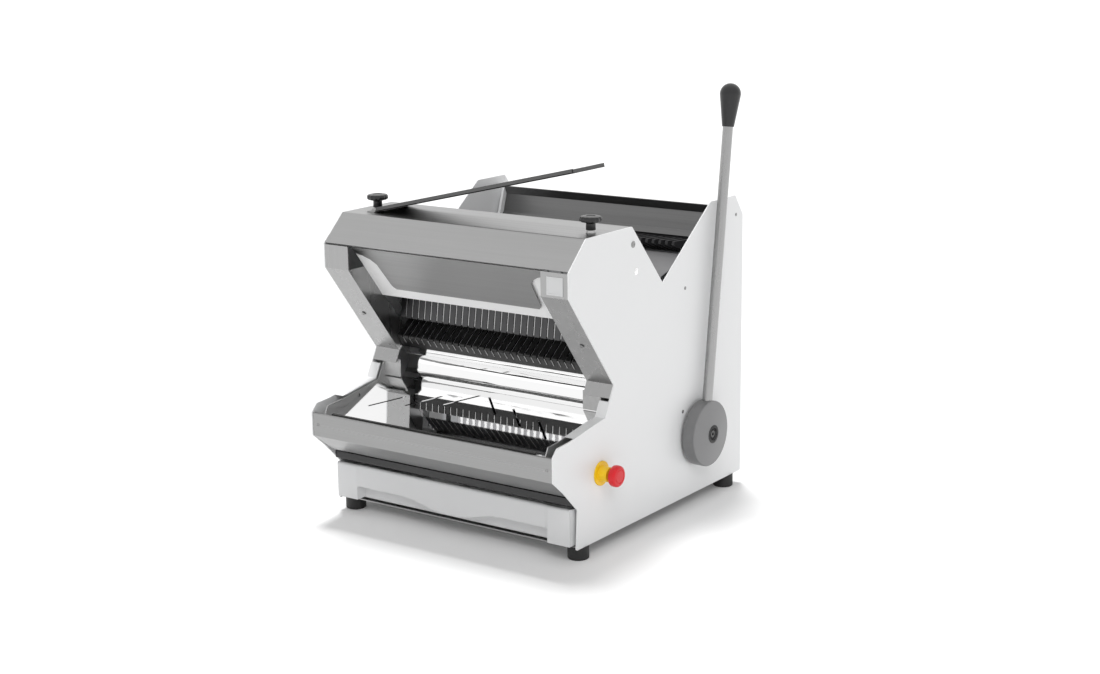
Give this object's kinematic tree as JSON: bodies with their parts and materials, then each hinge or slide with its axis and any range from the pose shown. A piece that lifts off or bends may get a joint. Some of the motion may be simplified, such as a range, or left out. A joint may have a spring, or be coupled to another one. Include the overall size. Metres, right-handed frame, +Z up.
{
  "type": "bread slicer with hand lever",
  "caption": "Tabletop bread slicer: a hand lever swings a comb that pushes the loaf down a slotted bed and through reciprocating blades to a tray.",
  "frame": {"origin": "middle of the bounding box's bottom, on the surface that the feet stand on", "axes": "+Z up; +X towards the lever's side; -Y towards the discharge tray, where the operator stands"},
  "size_m": [0.618, 0.679, 0.8233],
  "materials": {
    "white_paint": "satin",
    "satin_steel": "brushed",
    "polished_steel": "polished",
    "cast_aluminium": "machined",
    "grey_paint": "satin",
    "hub_paint": "satin",
    "black_plastic": "gloss",
    "dark_plastic": "matte",
    "white_plastic": "satin",
    "red_plastic": "gloss",
    "yellow_plastic": "gloss",
    "bronze": "machined",
    "rubber": "matte",
    "blade_steel": "ground"
  },
  "bodies": {
    "machine": {"side_panel_right": "white_paint", "side_panel_left": "white_paint", "base_pan": "satin_steel", "back_cover": "white_paint", "hood": "satin_steel", "deflector": "grey_paint", "baffle": "white_paint", "front_posts": "satin_steel", "bed": "grey_paint", "cheeks": "satin_steel", "chute": "polished_steel", "tray": "polished_steel", "front_trim": "satin_steel", "nose_liners": "polished_steel", "front_crossbar": "satin_steel", "guide_rods": "polished_steel", "guide_blocks": "cast_aluminium", "crank_stands": "cast_aluminium", "motor": "grey_paint", "motor_bracket": "satin_steel", "drive_belt": "rubber", "comb_pin": "polished_steel", "trough_floor": "grey_paint", "shaft_bearings": "bronze", "arm_stops": "rubber", "knob_studs": "polished_steel", "flap_hinge": "satin_steel", "estop_base": "yellow_plastic", "estop_contacts": "dark_plastic", "drawer_runners": "satin_steel", "feet": "rubber", "cable_gland": "dark_plastic", "control_box": "dark_plastic", "screws": "satin_steel"},
    "lever": {"swing_arms": "white_paint", "pusher_bar": "satin_steel", "pusher_comb": "dark_plastic", "cross_shaft": "polished_steel", "lever_hub": "hub_paint", "lever_tube": "satin_steel", "lever_handle": "black_plastic", "hub_screw": "satin_steel"},
    "frame_a": {"blade_frame_a": "cast_aluminium", "bushes_a": "bronze", "blades_a": "blade_steel"},
    "frame_b": {"blade_frame_b": "cast_aluminium", "bushes_b": "bronze", "blades_b": "blade_steel"},
    "crank": {"crankshaft": "satin_steel", "crank_pulley": "cast_aluminium"},
    "rods_a": {"connecting_rods_a": "cast_aluminium"},
    "rods_b": {"connecting_rods_b": "cast_aluminium"},
    "motor_rotor": {"motor_pulley": "cast_aluminium"},
    "hold_down": {"hold_down_comb": "grey_paint"},
    "flap": {"hood_flap": "satin_steel"},
    "left_knob": {"knob_left": "black_plastic"},
    "right_knob": {"knob_right": "black_plastic"},
    "stop_stem": {"estop_stem": "dark_plastic"},
    "stop_head": {"estop_head": "red_plastic"},
    "drawer": {"crumb_drawer": "white_plastic"}
  },
  "joints": [
    {"name": "lever_swing", "type": "hinge", "parent": "machine", "child": "lever", "pos_m": [-0.018, 0.15047, 0.14806], "axis": [1, 0, 0], "range_deg": [0, 46]},
    {"name": "blade_frame_a_stroke", "type": "slide", "parent": "machine", "child": "frame_a", "axis": [0, -0.5976, 0.8018], "range_m": [-0.03, 0]},
    {"name": "blade_frame_b_stroke", "type": "slide", "parent": "machine", "child": "frame_b", "axis": [0, -0.5976, 0.8018], "range_m": [0, 0.03]},
    {"name": "crank_turn", "type": "hinge", "parent": "machine", "child": "crank", "pos_m": [-0.018, 0.09191, 0.22663], "axis": [1, 0, 0], "continuous": true},
    {"name": "rods_a_turn", "type": "hinge", "parent": "crank", "child": "rods_a", "pos_m": [-0.018, 0.08294, 0.23866], "axis": [1, 0, 0], "continuous": true},
    {"name": "rods_b_turn", "type": "hinge", "parent": "crank", "child": "rods_b", "pos_m": [-0.018, 0.10087, 0.21461], "axis": [1, 0, 0], "continuous": true},
    {"name": "motor_turn", "type": "hinge", "parent": "machine", "child": "motor_rotor", "pos_m": [-0.018, 0.2455, 0.29], "axis": [1, 0, 0], "continuous": true},
    {"name": "hold_down_swing", "type": "hinge", "parent": "machine", "child": "hold_down", "pos_m": [-0.018, -0.1265, 0.432], "axis": [-1, 0, 0], "range_deg": [0, 50]},
    {"name": "flap_swing", "type": "hinge", "parent": "machine", "child": "flap", "pos_m": [-0.244, -0.1555, 0.5943], "axis": [0, -1, 0], "range_deg": [-9, 75]},
    {"name": "left_knob_turn", "type": "hinge", "parent": "machine", "child": "left_knob", "pos_m": [-0.268, -0.1645, 0.6], "axis": [0, 0, 1], "continuous": true},
    {"name": "right_knob_turn", "type": "hinge", "parent": "machine", "child": "right_knob", "pos_m": [0.232, -0.1645, 0.6], "axis": [0, 0, 1], "continuous": true},
    {"name": "stop_press", "type": "slide", "parent": "machine", "child": "stop_stem", "axis": [-1, 0, 0], "range_m": [0, 0.004], "stiffness_N_per_m": 400},
    {"name": "stop_twist", "type": "hinge", "parent": "stop_stem", "child": "stop_head", "pos_m": [0.302, -0.1895, 0.151], "axis": [1, 0, 0], "range_deg": [0, 30]},
    {"name": "drawer_slide", "type": "slide", "parent": "machine", "child": "drawer", "axis": [0, -1, 0], "range_m": [0, 0.26]}
  ],
  "couplings": [
    {"joint": "blade_frame_b_stroke", "follows": "blade_frame_a_stroke", "ratio": -1},
    {"joint": "rods_a_turn", "follows": "crank_turn", "ratio": -1},
    {"joint": "rods_b_turn", "follows": "crank_turn", "ratio": -1},
    {"joint": "motor_turn", "follows": "crank_turn", "ratio": 2.5}
  ]
}
